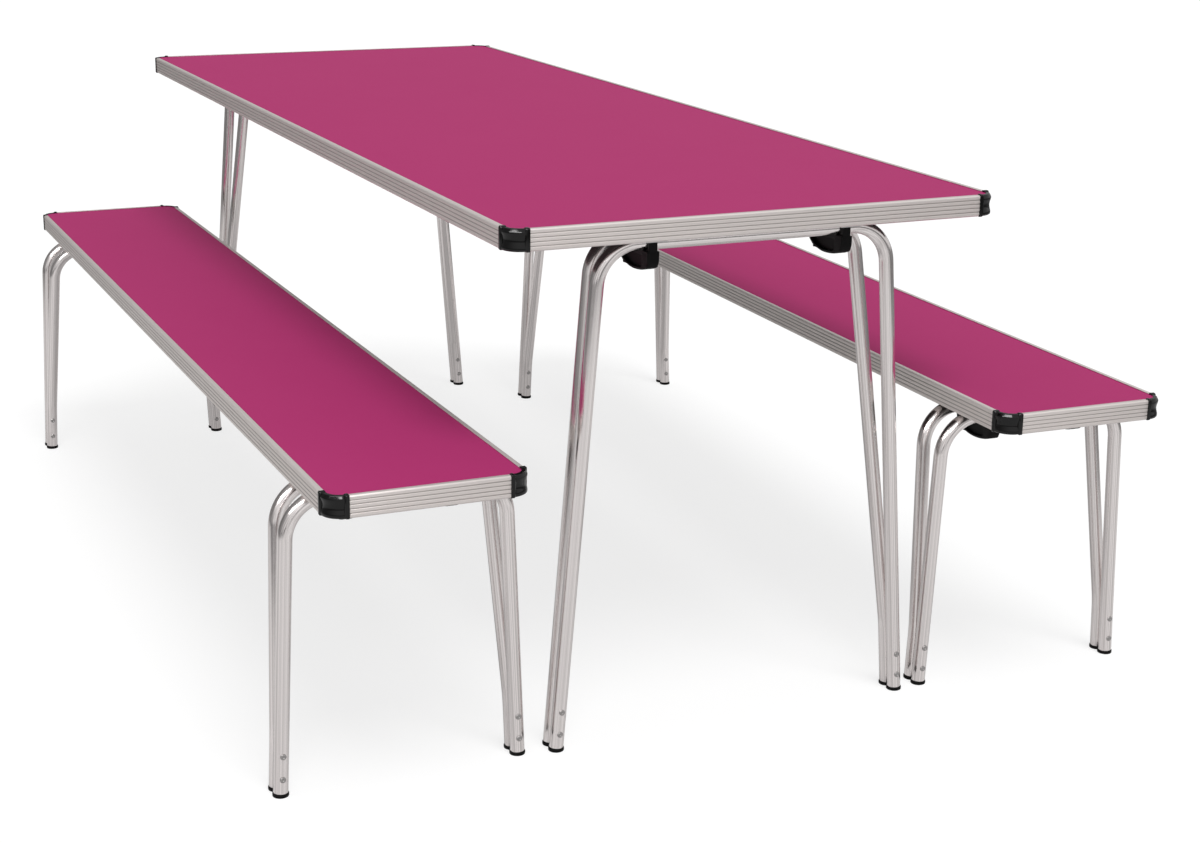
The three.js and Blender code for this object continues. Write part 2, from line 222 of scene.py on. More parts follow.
def copy_to(model, name, place):
    """A copy of a model with its own mesh, moved to its place."""
    piece = model.copy()
    piece.data = model.data.copy()
    piece.name = name
    piece.data.transform(place)
    bpy.context.collection.objects.link(piece)
    return piece


def put_away(model):
    bpy.data.objects.remove(model)


def dress(piece, body, finish, slot, *nodes):
    """Gives a piece its finish and hands it to the body that carries it."""
    piece.data.materials.clear()
    piece.data.materials.append(finish)
    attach(piece, body)
    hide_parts(*nodes)


laminate, shader, place = new_finish("magenta_laminate", {"Specular IOR Level": 0.02})
pores = place.noise(2600, 3, 0.6)
clouds = place.noise(9, 2)
shade = 0.35 * clouds + 0.3 * pores
shade.between((0.418, 0.0345, 0.152, 1), (0.449, 0.0416, 0.169, 1)).feed(shader, "Base Color")
(0.36 + 0.16 * pores).feed(shader, "Roughness")
pores.bump(0.10, 0.05 * mm).feed(shader, "Normal")

# The core is near-black: painted shade for the shade under the top, which the bent tubes mirror.
shaded_core, shader, place = new_finish("core_with_painted_shade", {"Specular IOR Level": 0.3})
fibre = place.noise(900, 4, 0.65)
blotch = place.noise(14, 3, 0.6)
weave = 0.6 * fibre + 0.4 * blotch
weave.between((0.018, 0.016, 0.015, 1), (0.055, 0.049, 0.045, 1)).feed(shader, "Base Color")
(0.42 + 0.2 * fibre).feed(shader, "Roughness")
fibre.bump(0.2, 0.1 * mm).feed(shader, "Normal")


def board_model(name, size, top, bottom):
    """A flat board with rounded corners, between two heights."""
    bpy.ops.object.select_all(action="DESELECT")
    bpy.ops.mesh.primitive_cube_add(size=1, location=(0, 0, (top + bottom) / 2))
    length, width = (size[way] - 2 * board_inset for way in ("length", "width"))
    bpy.context.object.scale = (length, width, top - bottom)
    piece = begin(name)
    choose_edges(lambda edge: not is_level(edge))
    bpy.ops.mesh.bevel(offset=cap_radius - board_inset, segments=corner_steps, affect="EDGES")
    return close(piece, board_arris, 1)


for unit, facts in units.items():
    size = size_of(unit)
    seam = size["height"] - laminate_drop - laminate_thick
    layers = (
        ("laminate", laminate, seam + laminate_thick, seam),
        ("core", shaded_core, seam, size["height"] - board_drop),
    )
    for layer, finish, top, bottom in layers:
        model = board_model(layer, size, top, bottom)
        piece = copy_to(model, f"{unit}_{layer}", unit_place(unit))
        dress(piece, facts["top"], finish, "laminate", f"{facts['top']}_board")
        put_away(model)


# Edging
# Four lengths of extruded aluminium grip the board: a ribbed wall, a lip over the laminate and a flange
# under the board. They are cut square and stop inside the corner caps.
edge_height = 27.5 * mm
edge_wall = 2.4 * mm
lip_width = 7 * mm
lip_thick = 0.9 * mm
arris = 1.5 * mm
edge_round = 0.22 * mm
ridges = 5
groove_width = 1.6 * mm
groove_slope = 0.4 * mm
groove_depth = 0.5 * mm
flange_drop = 18.4 * mm
flange_width = 12 * mm
flange_thick = 2 * mm
skirt_return = 9 * mm
cap_reach = 28 * mm
cap_gap = 0.3 * mm
ends = ("front", "rear")


def edging_metal(turn):
    """Satin anodised aluminium with its drawn grain along the length."""
    metal, shader, place = new_finish("anodised_edging", {"Metallic": 0.55, "Specular IOR Level": 0.2})
    drawn = place.stretched((0.5, 0.0011, 0.0011), turn).noise(2, 3, 0.6)
    haze = place.noise(26, 2)
    groove_shade = place.node("ShaderNodeAttribute", {"attribute_name": "groove_shade"}, out="Fac")
    unshaded_metal = drawn.between((0.705, 0.649, 0.628, 1), (0.85, 0.788, 0.762, 1))
    # The grooves are darkened towards their floor with painted shade.
    groove_shade.between(unshaded_metal, (0.40, 0.366, 0.352, 1)).feed(shader, "Base Color")
    (0.36 + 0.1 * drawn + 0.08 * haze).feed(shader, "Roughness")
    drawn.bump(0.15, 0.04 * mm).feed(shader, "Normal")
    return metal


def draw(name, points):
    """Draws a closed outline by extruding one point from corner to corner."""
    bpy.ops.object.select_all(action="DESELECT")
    bpy.ops.mesh.primitive_plane_add(size=mm)
    piece = begin(name)
    bpy.ops.mesh.merge(type="CENTER")
    bpy.ops.transform.translate(value=points[0])
    for before, after in zip(points, points[1:]):
        bpy.ops.mesh.extrude_vertices_move(TRANSFORM_OT_translate={"value": Vector(after) - Vector(before)})
    bpy.ops.mesh.select_all(action="SELECT")
    bpy.ops.mesh.edge_face_add()
    return piece


def edge_outline():
    """The edging's section: outwards from its outer face, and up from its top."""
    pitch = (edge_height - 2 * arris + groove_width) / ridges
    outline = [
        (-arris, 0), (-lip_width, 0), (-lip_width, -lip_thick), (-edge_wall, -lip_thick),
        (-edge_wall, -flange_drop), (-flange_width, -flange_drop),
        (-flange_width, -flange_drop - flange_thick), (-edge_wall, -flange_drop - flange_thick),
        (-edge_wall, flange_thick - edge_height), (-skirt_return, flange_thick - edge_height),
        (-skirt_return, -edge_height), (-arris, -edge_height),
    ]
    for ridge in range(ridges):
        low = arris - edge_height + ridge * pitch
        high = low + pitch - groove_width
        outline += [(0, low), (0, high)]
        if ridge < ridges - 1:
            outline += [(-groove_depth, high + groove_slope)]
            outline += [(-groove_depth, high + groove_width - groove_slope)]
    return outline


def note_groove_shade(piece):
    """Notes how deep in a groove of the ribbed wall each point lies, for the painted shade that darkens the
    grooves.
    """
    note = piece.data.attributes.new("groove_shade", "FLOAT", "POINT")
    for point, value in zip(piece.data.vertices, note.data):
        deep = -point.co.x
        on_wall = arris - edge_height < point.co.z < -arris
        value.value = deep / groove_depth if on_wall and deep < groove_depth + hair / 2 else 0


def quarter_turn(count):
    return Matrix.Rotation(count * math.pi / 2, 4, "Z")


for unit, facts in units.items():
    size = size_of(unit)
    crosswise = edging_metal(facts["turn"] + 90)
    lengthwise = edging_metal(facts["turn"])
    for quarter, side in enumerate(("front", "right", "rear", "left")):
        is_end = side in ends
        reach = size["length" if is_end else "width"] / 2
        run = size["width" if is_end else "length"] - 2 * (cap_reach + cap_gap)
        model = draw("edging", [(x, -run / 2, z) for x, z in edge_outline()])
        bpy.ops.mesh.extrude_region_move(TRANSFORM_OT_translate={"value": (0, run, 0)})
        close(model, edge_round)
        note_groove_shade(model)
        stand = unit_place(unit) @ quarter_turn(quarter) @ Matrix.Translation((reach, 0, size["height"]))
        piece = copy_to(model, f"{unit}_{side}_edging", stand)
        metal = crosswise if is_end else lengthwise
        dress(piece, facts["top"], metal, "edging", f"{unit}_edge_frame")
        put_away(model)


# Corner caps
# Black gloss mouldings that plug the open ends of the edging at each corner. Each has a raised collar at
# both ends, and its wall is hollowed between a rounded top rim and a rounded bottom one.
cap_straight = cap_reach - cap_radius
cap_proud = 1.19 * mm
collar_drop = 0.6 * mm
collar_flare = 2 * mm
collar_top_edge = 0.4 * mm
collar_bottom_edge = 0.8 * mm
collar_taper = (0.8, 1, 0.9)
collar_round = 0.45 * mm
cap_hollow = 1.75 * mm
hollow_top = -5 * mm
hollow_bottom = -24 * mm
hollow_ease = 1.5
hollow_steps = 12
cap_steps = 24
top_rim = [
    (3.6 * mm, 0), (2.6 * mm, -0.12 * mm), (2.15 * mm, -0.4 * mm), (1.95 * mm, -0.75 * mm),
    (1.8 * mm, -1.02 * mm), (0.64 * mm, -3.12 * mm), (0.5 * mm, -3.38 * mm), (0.2 * mm, -4.1 * mm),
    (0.05 * mm, -4.6 * mm),
]
bottom_rim = [(0.1 * mm, -25.7 * mm), (0.75 * mm, -26.9 * mm), (1.8 * mm, -edge_height)]

cap_gloss, shader, place = new_finish("gloss_black_cap", {"Specular IOR Level": 0.35})
grain = place.noise(1500, 2)
scuff = place.noise(70, 4, 0.7)
scuff.between((0.0015, 0.0014, 0.0014, 1), (0.004, 0.0036, 0.0036, 1)).feed(shader, "Base Color")
(0.05 + 0.08 * scuff + 0.03 * grain).feed(shader, "Roughness")
grain.bump(0.05, 0.05 * mm).feed(shader, "Normal")


def join(parts):
    """Makes one piece of several, under the first."""
    bpy.ops.object.select_all(action="DESELECT")
    for part in parts:
        part.select_set(True)
    bpy.context.view_layer.objects.active = parts[0]
    bpy.ops.object.join()


def cap_wall():
    """The hollowed wall, drawn at the corner's start and spun a quarter turn round its centre."""
    outline = [
        (edge_wall, flange_thick - edge_height), (edge_wall, -lip_thick), (lip_width, -lip_thick),
        (lip_width, 0), *top_rim,
    ]
    for i in range(hollow_steps + 1):
        share = i / hollow_steps
        depth = cap_hollow * math.sin(math.pi * share) ** hollow_ease
        outline.append((depth, hollow_top + (hollow_bottom - hollow_top) * share))
    outline += [*bottom_rim, (skirt_return, -edge_height), (skirt_return, flange_thick - edge_height)]
    piece = draw("cap", [(cap_radius - depth, -collar_flare, up) for depth, up in outline])
    bpy.ops.mesh.delete(type="ONLY_FACE")
    bpy.ops.mesh.select_all(action="SELECT")
    bpy.ops.mesh.extrude_region_move(TRANSFORM_OT_translate={"value": (0, collar_flare, 0)})
    bpy.ops.mesh.spin(steps=cap_steps, angle=-math.pi / 2, center=(0, 0, 0), axis=(0, 0, 1))
    bpy.ops.mesh.extrude_region_move(TRANSFORM_OT_translate={"value": (-collar_flare, 0, 0)})
    bpy.ops.mesh.select_all(action="SELECT")
    bpy.ops.mesh.fill_holes(sides=0)
    return close(piece)


def cap_collar():
    """A collar at the cap's start, flared down to the wall on its inner side."""
    outline = [
        (-cap_proud, -collar_top_edge), (-cap_proud, collar_bottom_edge - edge_height),
        (0, -edge_height - collar_drop), (skirt_return, -edge_height - collar_drop),
        (skirt_return, flange_thick - edge_height), (edge_wall, flange_thick - edge_height),
        (edge_wall, -lip_thick), (lip_width, -lip_thick), (lip_width, cap_proud), (0, cap_proud),
    ]
    piece = draw("collar", [(cap_radius - depth, -cap_straight, up) for depth, up in outline])
    bpy.ops.mesh.extrude_region_move(TRANSFORM_OT_translate={"value": (0, cap_straight, 0)})
    bpy.ops.mesh.extrude_region_move(TRANSFORM_OT_translate={"value": (0, collar_flare, 0)})
    heart = (cap_radius - lip_width, collar_flare, -edge_height / 2)
    bpy.ops.transform.resize(value=collar_taper, center_override=heart)
    return close(piece, collar_round, 3)


cap = cap_wall()
collar = cap_collar()
second = copy_to(collar, "collar", quarter_turn(1) @ Matrix.Scale(-1, 4, (0, 1, 0)))
second.data.flip_normals()
join([cap, collar, second])
corners = (("front_right", 1, 1), ("rear_right", -1, 1), ("rear_left", -1, -1), ("front_left", 1, -1))
for unit, facts in units.items():
    length, width, height = size_of(unit).values()
    for quarter, (corner, along_x, along_y) in enumerate(corners):
        centre = (along_x * (length / 2 - cap_radius), along_y * (width / 2 - cap_radius), height)
        stand = unit_place(unit) @ Matrix.Translation(centre) @ quarter_turn(quarter)
        piece = copy_to(cap, f"{unit}_{corner}_moulding", stand)
        dress(piece, facts["top"], cap_gloss, "corner_cap", f"{unit}_{corner}_cap")
put_away(cap)


# Leg hoops
# Polished aluminium tube, bent into two hoops for each leg frame. The outer hoop stands upright and
# carries the catches; the inner one leans in to its crossbar, which is the pivot the legs fold on.
tube_radius = 9.5 * mm
tube_arris = 0.6 * mm
tube_sides = 40
grain_drift = 0.2 * mm
bend_radius = 54 * mm
easing_radius = 220 * mm
bend_step = 4
fewest_bend_steps = 4
tube_pitch = 19.5 * mm
bar_spacing = 57 * mm
bar_drop = 37.5 * mm
tube_end = 5 * mm
legs = {
    "table": {
        "inset": 48 * mm, "foot": 256 * mm, "outer": 203 * mm, "inner": 187 * mm, "joined": 95 * mm,
    },
    "bench": {
        "inset": 124 * mm, "foot": 157 * mm, "outer": 140 * mm, "inner": 135.5 * mm, "joined": 75 * mm,
    },
}

tube_polish, shader, place = new_finish("polished_tube", {"Metallic": 1.0})
grain = place.node("ShaderNodeAttribute", {"attribute_name": "round_the_tube"}, out="Vector")
drawn = grain.noise(700, 3, 0.6).eased(0.3, 0.7)
haze = place.noise(60, 3)
drawn.between((0.62, 0.575, 0.565, 1), (0.97, 0.915, 0.905, 1)).feed(shader, "Base Color")
(0.1 + 0.1 * drawn + 0.08 * haze).feed(shader, "Roughness")
drawn.bump(0.15, 0.04 * mm).feed(shader, "Normal")


def bar_height(kind):
    return sizes[kind]["height"] - bar_drop


def splay(kind, height):
    """How far out from the middle a leg stands at a height."""
    leg = legs[kind]
    return leg["foot"] - (leg["foot"] - leg["outer"]) * height / bar_height(kind)


def note_drawing(piece):
    """Notes each point's place round the tube, and a little of its place along it, for the drawn grain."""
    note = piece.data.attributes.new("round_the_tube", "FLOAT_VECTOR", "POINT")
    for i, value in enumerate(note.data):
        angle = 2 * math.pi * (i % tube_sides) / tube_sides
        along = (i // tube_sides) * grain_drift
        value.vector = (tube_radius * math.cos(angle), tube_radius * math.sin(angle), along)


def bend_tube(name, route, radii):
    """A ring is run along the straights of a route and spun round its bends."""
    points = [Vector(point) for point in route]
    runs = [after - before for before, after in zip(points, points[1:])]
    headings = [run.normalized() for run in runs]
    turns = [before.angle(after) for before, after in zip(headings, headings[1:])]
    setbacks = [0, *(radius * math.tan(turn / 2) for radius, turn in zip(radii, turns)), 0]
    bpy.ops.object.select_all(action="DESELECT")
    bpy.ops.mesh.primitive_circle_add(
        vertices=tube_sides, radius=tube_radius, location=points[0],
        rotation=headings[0].to_track_quat("Z", "Y").to_euler(),
    )
    piece = begin(name)
    here = points[0]
    for i, heading in enumerate(headings):
        step = heading * (runs[i].length - setbacks[i] - setbacks[i + 1])
        bpy.ops.mesh.extrude_region_move(TRANSFORM_OT_translate={"value": step})
        here = here + step
        if i == len(turns):
            break
        axis = heading.cross(headings[i + 1]).normalized()
        centre = here + axis.cross(heading) * radii[i]
        steps = max(fewest_bend_steps, round(math.degrees(turns[i]) / bend_step))
        bpy.ops.mesh.spin(steps=steps, angle=-turns[i], center=centre, axis=axis)
        here = centre + Matrix.Rotation(turns[i], 3, axis) @ (here - centre)
    bpy.ops.mesh.select_all(action="SELECT")
    bpy.ops.mesh.fill_holes(sides=0)
    bpy.ops.object.mode_set(mode="OBJECT")
    note_drawing(piece)
    bpy.ops.object.mode_set(mode="EDIT")
    return close(piece, tube_arris)


def mirrored(points):
    return [*points, *((x, -y, z) for x, y, z in reversed(points))]


def end_place(unit, end):
    """Where a leg frame stands: its outer bar over the origin, at the front or the rear."""
    out = size_of(unit)["length"] / 2 - legs[units[unit]["kind"]]["inset"]
    return unit_place(unit) @ quarter_turn(2 * ends.index(end)) @ Matrix.Translation((out, 0, 0))


for kind, leg in legs.items():
    bar = bar_height(kind)
    foot = (splay(kind, tube_end), tube_end)
    knee = (splay(kind, leg["joined"]), leg["joined"])
    outer_leg = [(0, *foot), (0, leg["outer"], bar)]
    inner_leg = [(-tube_pitch, *foot), (-tube_pitch, *knee), (-bar_spacing, leg["inner"], bar)]
    outer = bend_tube("outer", mirrored(outer_leg), [bend_radius, bend_radius])
    inner = bend_tube("inner", mirrored(inner_leg), [easing_radius, bend_radius, bend_radius, easing_radius])
    for unit in (name for name, facts in units.items() if facts["kind"] == kind):
        for end in ends:
            for hoop, model in (("outer", outer), ("inner", inner)):
                piece = copy_to(model, f"{unit}_{end}_{hoop}_hoop", end_place(unit, end))
                dress(piece, f"{unit}_{end}_legs", tube_polish, "leg_tube", f"{unit}_{end}_{hoop}_tube")
    put_away(outer)
    put_away(inner)


# Feet
# One black nylon moulding closes both tubes of a leg: two round pads with a neck between them, plugged
# up into the tubes and rounded over at the floor.
foot_radius = 10.37 * mm
foot_height = 5 * mm
foot_neck = 32
foot_round = 1.3 * mm
pad_steps = 30

nylon, shader, place = new_finish("black_nylon", {"Specular IOR Level": 0.12})
grain = place.noise(1900, 2, 0.6)
wear = place.noise(90, 4, 0.7)
wear.between((0.0015, 0.0014, 0.0014, 1), (0.005, 0.0046, 0.0045, 1)).feed(shader, "Base Color")
(0.34 + 0.14 * grain + 0.12 * wear).feed(shader, "Roughness")
grain.bump(0.22, 0.06 * mm).feed(shader, "Normal")


def each_leg():
    """Every leg of the set: its unit, its end, its side of the frame, and its hand seen from the front."""
    for unit in units:
        for end in ends:
            for side in (-1, 1):
                yield unit, end, side, "left" if (side < 0) == (end == "front") else "right"


pads = []
for x, start in ((0, foot_neck - 180), (-tube_pitch, foot_neck)):
    for i in range(pad_steps + 1):
        angle = math.radians(start + (360 - 2 * foot_neck) * i / pad_steps)
        pads.append((x + foot_radius * math.cos(angle), foot_radius * math.sin(angle), 0))
foot_model = draw("foot", pads)
bpy.ops.mesh.extrude_region_move(TRANSFORM_OT_translate={"value": (0, 0, foot_height)})
choose_edges(is_level)
bpy.ops.mesh.bevel(offset=foot_round, segments=4, affect="EDGES")
close(foot_model)
for unit, end, side, hand in each_leg():
    out = Matrix.Translation((0, side * splay(units[unit]["kind"], tube_end), 0))
    piece = copy_to(foot_model, f"{unit}_{end}_{hand}_glide", end_place(unit, end) @ out)
    dress(piece, f"{unit}_{end}_legs", nylon, "nylon", f"{unit}_{end}_{hand}_foot")
put_away(foot_model)


# Rivets
# Two blind rivets at the bottom of each leg hold its tubes side by side. Each shows a domed flange with a
# small dimple on the outer tube, and a closed head behind the inner one.
rivet_heights = (24.7 * mm, 55.2 * mm)
rivet_radius = 3.9 * mm
rivet_sink = 0.9 * mm
rivet_seat = tube_radius - rivet_sink
rivet_arris = 0.1 * mm
rivet_profile = (
    (1.3 * mm, 1), (0.4 * mm, 0.9), (0.35 * mm, 0.72), (0.15 * mm, 0.62), (-0.6 * mm, 0.75),
)
head_sides = 24

fixing_metal, shader, place = new_finish("bright_fixing", {"Metallic": 1.0})
brushed = place.noise(700, 2)
brushed.between((0.30, 0.285, 0.28, 1), (0.44, 0.425, 0.42, 1)).feed(shader, "Base Color")
(0.24 + 0.2 * brushed).feed(shader, "Roughness")


def turned_head(name, radius, profile):
    """A round head, drawn out of a disc step by step; each step has a rise and a share to shrink to."""
    bpy.ops.object.select_all(action="DESELECT")
    bpy.ops.mesh.primitive_circle_add(vertices=head_sides, radius=radius, fill_type="NGON")
    piece = begin(name)
    for rise, shrink in profile:
        bpy.ops.mesh.extrude_region_move(TRANSFORM_OT_translate={"value": (0, 0, rise)})
        bpy.ops.transform.resize(value=(shrink, shrink, 1))
    return piece


rivet = close(turned_head("rivet", rivet_radius, rivet_profile), rivet_arris, 1)
for unit, end, side, hand in each_leg():
    heads = []
    for height in rivet_heights:
        out = side * splay(units[unit]["kind"], height)
        for x, face in ((rivet_seat, 1), (-tube_pitch - rivet_seat, -1)):
            aim = Matrix.Rotation(face * math.pi / 2, 4, "Y")
            stand = end_place(unit, end) @ Matrix.Translation((x, out, height)) @ aim
            heads.append(copy_to(rivet, "head", stand))
    join(heads)
    heads[0].name = f"{unit}_{end}_{hand}_rivets"
    dress(heads[0], f"{unit}_{end}_legs", fixing_metal, "leg_tube")
put_away(rivet)


# Catches
# D-shaped nylon levers, two to a leg frame, that turn on the outer crossbar. A hook in front holds the leg
# to its carrier, and a hand pulls the tail down to free it.
catch_width = 16.5 * mm
catch_across = {"table": 137 * mm, "bench": 67 * mm}
strap_width = 11.5 * mm
catch_bore = 9.8 * mm
catch_ring = 14 * mm
catch_tail = 72 * mm
catch_top = 12 * mm
catch_belly = 38 * mm
catch_deepest = -31 * mm
catch_sweep = 60 * mm
catch_chin = 26 * mm
catch_root = 17 * mm
catch_round = 2.6 * mm
catch_arris = 0.7 * mm
catch_lap = 2 * mm
catch_wall = 3.8 * mm
web_half = 4 * mm
pocket_front = -2 * mm
nub = [(-56.6 * mm, -33.4 * mm), (-55 * mm, -35.6 * mm)]
nub_end = -49 * mm
nose = [(13 * mm, 10.4 * mm), (20 * mm, 9 * mm), (20 * mm, 6.4 * mm), (catch_ring, 6.4 * mm)]
tail_sweep = (192, 233)
belly_sweep = (242, 316)
pocket_sweep = (196, 300)
strap_sweep = (200, 45)
bowl_steps = 24
strap_steps = 16
bore_sides = 48


def prism(name, outline, low, high):
    """A side view, drawn in X and Z and drawn out along Y between two places."""
    piece = draw(name, [(x, low, z) for x, z in outline])
    bpy.ops.mesh.extrude_region_move(TRANSFORM_OT_translate={"value": (0, high - low, 0)})
    return piece


def arc(radius, first, last, steps, middle=0):
    """Points of an arc in a side view, by angle from straight ahead."""
    turns = [math.radians(first + (last - first) * i / steps) for i in range(steps + 1)]
    return [(middle + radius * math.cos(turn), radius * math.sin(turn)) for turn in turns]


def bowl(wall, first, last):
    """The underside of a catch, steep at the back and slow to rise in front, or a line a wall inside it."""
    points = []
    for along, up in arc(1, first, last, bowl_steps):
        sweep = catch_tail + catch_deepest if along < 0 else catch_sweep
        x = catch_deepest + (sweep - wall) * along
        points.append((x, (catch_belly - catch_top - wall) * up - catch_top))
    return points


def cut_away(piece, tool):
    """Takes a tool's shape out of a piece."""
    cut = piece.modifiers.new("cut", "BOOLEAN")
    cut.operation = "DIFFERENCE"
    cut.object = tool
    bpy.context.view_layer.objects.active = piece
    bpy.ops.object.modifier_apply(modifier=cut.name)
    put_away(tool)


def under_a_side(edge):
    """Whether an edge lies under one of a catch's two flat sides, in front of the nub."""
    first, last = (end.co for end in edge.verts)
    on_a_side = abs(first.y - last.y) < hair
    is_under = max(first.z, last.z) < -catch_root
    return on_a_side and is_under and min(first.x, last.x) > nub_end


lever_outline = [
    (-catch_tail, -catch_top), *bowl(0, *tail_sweep), *nub, *bowl(0, *belly_sweep),
    (catch_ring, -catch_chin), (catch_ring, -catch_bore), (-catch_ring, -catch_bore),
    (-catch_ring - catch_lap, -catch_top),
]
strap_outline = [
    *arc(catch_ring, *strap_sweep, strap_steps), *nose, (catch_ring, -catch_bore),
    (catch_ring - catch_lap, -catch_root), (catch_lap - catch_ring, -catch_root),
]
pocket_outline = [*bowl(catch_wall, *pocket_sweep), (pocket_front, -catch_top - catch_wall)]
catch = prism("catch", lever_outline, -catch_width / 2, catch_width / 2)
choose_edges(under_a_side)
bpy.ops.mesh.bevel(offset=catch_round, segments=4, affect="EDGES")
close(catch)
strap = close(prism("strap", strap_outline, -strap_width / 2, strap_width / 2))
for piece in (catch, strap):
    bpy.ops.object.select_all(action="DESELECT")
    bpy.ops.mesh.primitive_cylinder_add(
        vertices=bore_sides, radius=catch_bore, depth=2 * catch_width, rotation=(math.pi / 2, 0, 0)
    )
    cut_away(piece, close(begin("bore")))
for near, far in ((web_half, catch_width), (-catch_width, -web_half)):
    cut_away(catch, close(prism("pocket", pocket_outline, near, far)))
for piece in (catch, strap):
    bpy.ops.object.select_all(action="DESELECT")
    piece.select_set(True)
    bpy.context.view_layer.objects.active = piece
    bpy.ops.object.mode_set(mode="EDIT")
    close(piece, catch_arris, 3)
join([catch, strap])
for unit, end, side, hand in each_leg():
    kind = units[unit]["kind"]
    out = Matrix.Translation((0, side * catch_across[kind], bar_height(kind)))
    piece = copy_to(catch, f"{unit}_{end}_{hand}_lever", end_place(unit, end) @ out)
    dress(piece, f"{unit}_{end}_{hand}_catch", nylon, "nylon", f"{unit}_{end}_{hand}_catch")
put_away(catch)


# Leg carriers
# Mill-finish plates screwed under the board. Two saddles on each hold the pivot bar, and two hooked ledges
# at the front edge take the noses of the catches.
plate_thick = 2 * mm
plate_top = bar_drop - flange_drop
plate_tail = 78 * mm
plate_margin = 13 * mm
saddle_bore = 10 * mm
saddle_wall = 2.4 * mm
saddle_length = 40 * mm
saddle_clear = 10.5 * mm
ledge_length = 28 * mm
web_inner = 22 * mm
ledge_tip = 16.6 * mm
ledge_low = 4 * mm
carrier_arris = 0.25 * mm
saddle_steps = 15

mill_aluminium, shader, place = new_finish("mill_aluminium", {"Metallic": 1.0})
rolled = place.stretched((0.002, 0.4, 0.002)).noise(2, 3, 0.6)
rolled.between((0.46, 0.455, 0.45, 1), (0.62, 0.615, 0.61, 1)).feed(shader, "Base Color")
(0.34 + 0.2 * rolled).feed(shader, "Roughness")
rolled.bump(0.15, 0.03 * mm).feed(shader, "Normal")

plate_under = plate_top - plate_thick
web_outer = web_inner + plate_thick
saddle_outer = saddle_bore + saddle_wall
plate_outline = [
    (-plate_tail, plate_under), (web_outer, plate_under), (web_outer, plate_top), (-plate_tail, plate_top),
]
saddle_outline = [
    (-bar_spacing - saddle_outer, plate_under), *arc(saddle_outer, 180, 360, saddle_steps, -bar_spacing),
    (-bar_spacing + saddle_outer, plate_under), (-bar_spacing + saddle_bore, plate_under),
    *arc(saddle_bore, 360, 180, saddle_steps, -bar_spacing), (-bar_spacing - saddle_bore, plate_under),
]
ledge_outline = [
    (web_outer, plate_under), (web_outer, ledge_low), (ledge_tip, ledge_low),
    (ledge_tip, ledge_low + plate_thick), (web_inner, ledge_low + plate_thick), (web_inner, plate_under),
]
for unit, facts in units.items():
    across = catch_across[facts["kind"]]
    half = across + plate_margin
    parts = [close(prism("plate", plate_outline, -half, half), carrier_arris)]
    for side in (-1, 1):
        near, far = sorted((side * (across - saddle_clear), side * (across - saddle_clear - saddle_length)))
        parts.append(close(prism("saddle", saddle_outline, near, far), carrier_arris))
        near, far = side * across - ledge_length / 2, side * across + ledge_length / 2
        parts.append(close(prism("ledge", ledge_outline, near, far), carrier_arris))
    join(parts)
    for end in ends:
        stand = end_place(unit, end) @ Matrix.Translation((0, 0, bar_height(facts["kind"])))
        piece = copy_to(parts[0], f"{unit}_{end}_carrier", stand)
        dress(piece, facts["top"], mill_aluminium, "carrier", f"{unit}_{end}_leg_carrier")
    put_away(parts[0])


# Carrier screws
# Six pan-head screws of bright plated steel hold each carrier up to the board through its plate, in two
# rows of three. Each head is domed, with a cross cut into it for the driver.
screw_rows = (-50 * mm, -24 * mm)
screw_margin = 7 * mm
screw_radius = 4 * mm
screw_profile = ((-0.9 * mm, 1), (-0.6 * mm, 0.94), (-0.45 * mm, 0.8), (-0.15 * mm, 0.6))
cross_arm = 2.2 * mm
cross_half = 0.45 * mm
cross_depth = 1 * mm
cross_drop = 2.2 * mm

screw = close(turned_head("screw", screw_radius, screw_profile))
for long_way in ((cross_arm, cross_half), (cross_half, cross_arm)):
    bpy.ops.object.select_all(action="DESELECT")
    bpy.ops.mesh.primitive_cube_add(size=2, location=(0, 0, -cross_drop))
    bpy.context.object.scale = (*long_way, cross_depth)
    cut_away(screw, close(begin("cross")))
for unit, facts in units.items():
    edge = catch_across[facts["kind"]] + plate_margin - screw_margin
    for end in ends:
        heads = []
        for x in screw_rows:
            for y in (-edge, 0, edge):
                seat = Matrix.Translation((x, y, bar_height(facts["kind"]) + plate_under))
                heads.append(copy_to(screw, "head", end_place(unit, end) @ seat))
        join(heads)
        heads[0].name = f"{unit}_{end}_screws"
        dress(heads[0], facts["top"], fixing_metal, "carrier")
put_away(screw)


# Floor, light and camera
# A pale floor under a white sky, with one soft sun from the front and a long strip lamp, above and to the
# left of the camera, that only shiny pieces show. The metal mirrors a sky that is brighter to the front
# right, and a pool of light painted into the floor's colour and glow, which only shiny pieces see.
floor_radius = 60
bright_side = (0.86, 0.5, 0)
pool_middle = (0.5, -0.35, 0)
pool_stretch = (1.5, 1, 1)
pool_paint = 0.55
pool_glow = 0.45
eye_lift = 0.76
plain_sky = 0.55
sun_way = Vector((-0.45, 0, -0.89))
eye_place = Vector((3.1444, -1.2414, 1.1758))
strip_place = Vector((2.3, -2.1, 2.55))


def ray_tones(tone):
    """Light Path tones: seen straight by the camera, and seen in a shiny piece."""
    return [tone.node("ShaderNodeLightPath", out=ray) for ray in ("Is Camera Ray", "Is Glossy Ray")]


